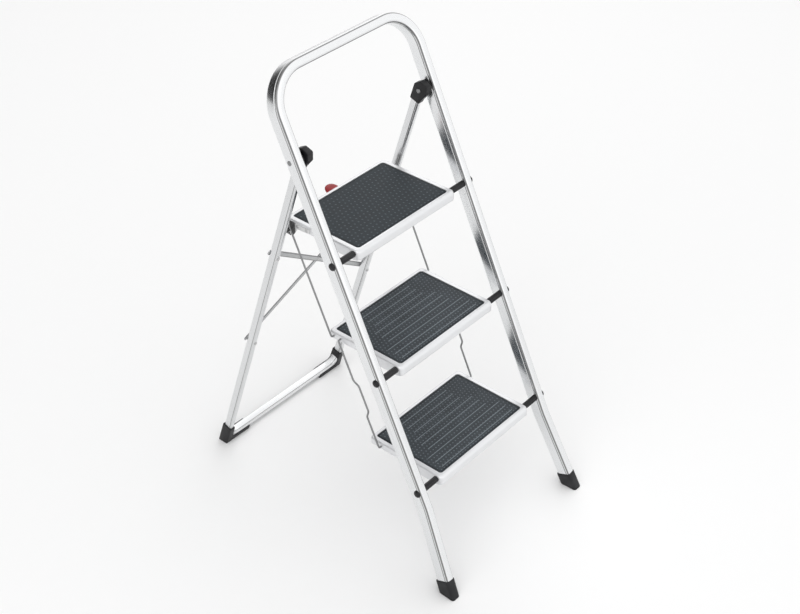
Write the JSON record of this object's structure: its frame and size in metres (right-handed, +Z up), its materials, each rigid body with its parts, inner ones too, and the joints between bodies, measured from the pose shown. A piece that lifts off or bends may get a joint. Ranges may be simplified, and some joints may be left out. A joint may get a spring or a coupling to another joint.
{
  "type": "folding step stool",
  "caption": "Folding household step stool: treads linked by rods between a tall safety bow and a braced rear frame, with a release catch behind the platform.",
  "frame": {"origin": "centre of the footprint of the open stool, on the floor", "axes": "+X to the climber's right, +Y from the front feet to the rear feet, +Z up"},
  "size_m": [0.4518, 0.732, 1.0337],
  "materials": {
    "tube_aluminium": "satin anodised extrusion",
    "leg_aluminium": "satin anodised extrusion",
    "pan_coating": "smooth pale silver coating on steel",
    "mat_rubber": "textured charcoal rubber",
    "black_plastic": "fine-grained black moulding",
    "zinc_steel": "bright zinc plating",
    "brace_steel": "grey coated flat steel",
    "rod_steel": "drawn steel wire",
    "hook_steel": "dark grey coated steel",
    "red_plastic": "glossy red moulding"
  },
  "bodies": {
    "bow": {"safety_bow": "tube_aluminium", "front_foot_left": "black_plastic", "front_foot_right": "black_plastic", "hinge_spacer_left": "black_plastic", "hinge_spacer_right": "black_plastic", "hinge_rivets": "zinc_steel", "step_bolts": "zinc_steel", "bolt_caps": "black_plastic", "top_spacer_left": "black_plastic", "top_spacer_right": "black_plastic", "middle_spacer_left": "black_plastic", "middle_spacer_right": "black_plastic", "bottom_spacer_left": "black_plastic", "bottom_spacer_right": "black_plastic"},
    "rear_frame": {"rear_frame": "leg_aluminium", "rear_foot_left": "black_plastic", "rear_foot_right": "black_plastic", "hinge_head_left": "black_plastic", "hinge_head_right": "black_plastic", "brace_a": "brace_steel", "brace_b": "brace_steel", "brace_rivets": "zinc_steel", "brace_washers": "zinc_steel", "support_bar": "rod_steel"},
    "top_step": {"top_step": "pan_coating", "top_mat": "mat_rubber", "platform_hook_left": "hook_steel", "platform_hook_right": "hook_steel", "hook_rivets": "zinc_steel", "catch_pin": "zinc_steel"},
    "middle_step": {"middle_step": "pan_coating", "middle_mat": "mat_rubber"},
    "bottom_step": {"bottom_step": "pan_coating", "bottom_mat": "mat_rubber"},
    "upper_rod_left": {"upper_rod_left": "rod_steel"},
    "upper_rod_right": {"upper_rod_right": "rod_steel"},
    "lower_rod_left": {"lower_rod_left": "rod_steel"},
    "lower_rod_right": {"lower_rod_right": "rod_steel"},
    "safety_catch": {"safety_catch": "red_plastic"}
  },
  "joints": [
    {"name": "step_fold", "type": "hinge", "parent": "bow", "child": "top_step", "pos_m": [0, -0.04056, 0.6807], "axis": [1, 0, 0], "range_deg": [0, 56]},
    {"name": "middle_fold", "type": "hinge", "parent": "bow", "child": "middle_step", "pos_m": [0, -0.14654, 0.4507], "axis": [1, 0, 0], "range_deg": [0, 56]},
    {"name": "bottom_fold", "type": "hinge", "parent": "bow", "child": "bottom_step", "pos_m": [0, -0.25252, 0.2207], "axis": [1, 0, 0], "range_deg": [0, 56]},
    {"name": "rear_fold", "type": "hinge", "parent": "bow", "child": "rear_frame", "pos_m": [0, 0.05953, 0.86922], "axis": [1, 0, 0], "range_deg": [-33.6, 0]},
    {"name": "upper_rod_swing_left", "type": "hinge", "parent": "top_step", "child": "upper_rod_left", "pos_m": [-0.15, 0.12797, 0.6797], "axis": [1, 0, 0], "range_deg": [-56, 0]},
    {"name": "upper_rod_swing_right", "type": "hinge", "parent": "top_step", "child": "upper_rod_right", "pos_m": [0.15, 0.12797, 0.6797], "axis": [1, 0, 0], "range_deg": [-56, 0]},
    {"name": "lower_rod_swing_left", "type": "hinge", "parent": "middle_step", "child": "lower_rod_left", "pos_m": [-0.15, 0.00349, 0.4497], "axis": [1, 0, 0], "range_deg": [-56, 0]},
    {"name": "lower_rod_swing_right", "type": "hinge", "parent": "middle_step", "child": "lower_rod_right", "pos_m": [0.15, 0.00349, 0.4497], "axis": [1, 0, 0], "range_deg": [-56, 0]},
    {"name": "catch_press", "type": "hinge", "parent": "top_step", "child": "safety_catch", "pos_m": [0, 0.12747, 0.6757], "axis": [1, 0, 0], "range_deg": [-8, 0], "stiffness_Nm_per_rad": 0.5, "springref_deg": 9.74}
  ],
  "couplings": [
    {"joint": "middle_fold", "follows": "step_fold", "ratio": 1},
    {"joint": "bottom_fold", "follows": "step_fold", "ratio": 1},
    {"joint": "rear_fold", "follows": "step_fold", "ratio": -0.6},
    {"joint": "upper_rod_swing_left", "follows": "step_fold", "ratio": -1},
    {"joint": "lower_rod_swing_left", "follows": "step_fold", "ratio": -1},
    {"joint": "upper_rod_swing_right", "follows": "step_fold", "ratio": -1},
    {"joint": "lower_rod_swing_right", "follows": "step_fold", "ratio": -1}
  ]
}
